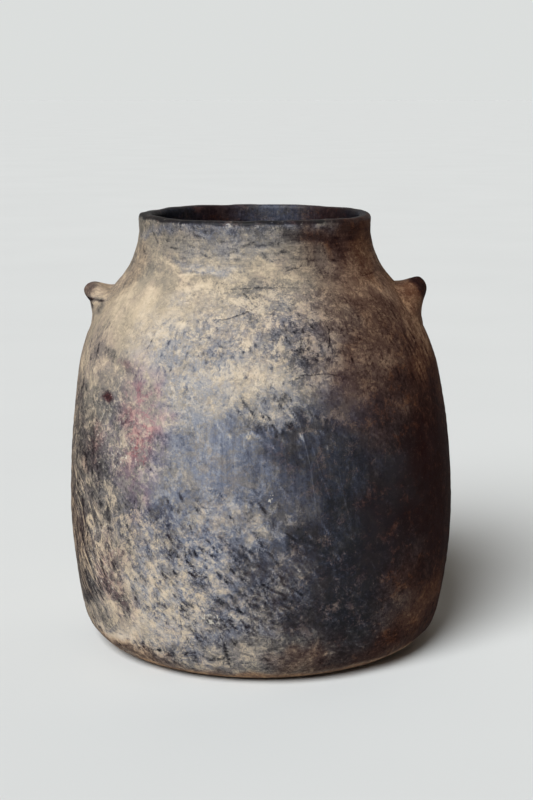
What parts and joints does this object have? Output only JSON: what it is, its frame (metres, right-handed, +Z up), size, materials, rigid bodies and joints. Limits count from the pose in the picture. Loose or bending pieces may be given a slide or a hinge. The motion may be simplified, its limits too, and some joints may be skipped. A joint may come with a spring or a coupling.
{
  "type": "earthenware olla",
  "caption": "Hand-built earthenware olla with a flat base, swelling belly, short upright neck, rolled lip and upturned shoulder lugs, for cooking and for keeping water or grain.",
  "frame": {"origin": "centre of the flat base, on the surface that the jar stands on", "axes": "+Z up along the axis of the jar, +X towards the right lug as seen from the front, -Y towards the front"},
  "size_m": [0.2694, 0.2694, 0.3],
  "materials": {
    "smoked_earthenware": "unglazed, scraped and rubbed smooth, blackened by smoke over a tan clay, worn through in streaks",
    "bare_earthenware": "unglazed, matt, tan to red-brown clay with little smoke"
  },
  "bodies": {
    "root": {"base_pan": "bare_earthenware", "foot_course": "smoked_earthenware", "lower_wall_course": "smoked_earthenware", "belly_course": "smoked_earthenware", "upper_wall_course": "smoked_earthenware", "shoulder_course": "smoked_earthenware", "neck_collar": "smoked_earthenware", "rim_coil": "smoked_earthenware", "left_lug": "bare_earthenware", "right_lug": "bare_earthenware"}
  },
  "joints": []
}
